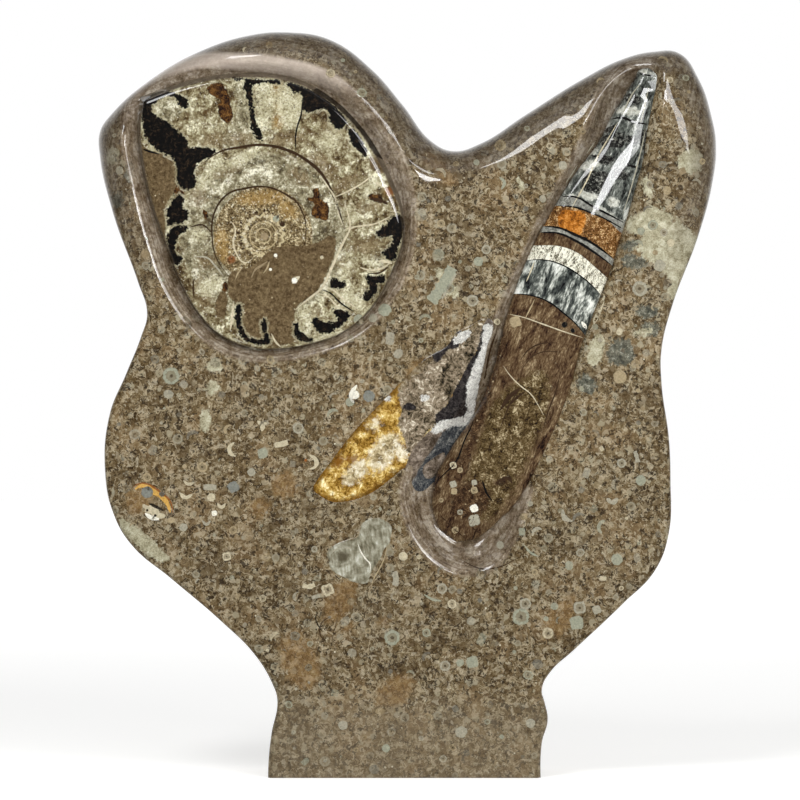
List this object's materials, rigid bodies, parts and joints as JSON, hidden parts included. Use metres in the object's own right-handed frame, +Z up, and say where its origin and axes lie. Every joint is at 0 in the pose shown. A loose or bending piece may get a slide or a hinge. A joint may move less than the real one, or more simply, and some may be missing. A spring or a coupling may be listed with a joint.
{
  "type": "orthoceras fossil",
  "caption": "Free-standing relief-carved slab of polished fossil limestone that shows an ammonite and an orthoceras, for display on a shelf or table.",
  "frame": {"origin": "middle of the sawn foot's underside, under the middle of the piece's box", "axes": "+Z up the height, -Y out of the carved front, +Y out of the plain back, +X to the viewer's right across the width"},
  "size_m": [0.208, 0.0458, 0.2501],
  "materials": {
    "polished_limestone": "polished brown-grey crinoidal limestone with cream, black and ochre calcite in the fossils"
  },
  "bodies": {
    "root": {"fossil_stone": "polished_limestone"}
  },
  "joints": []
}
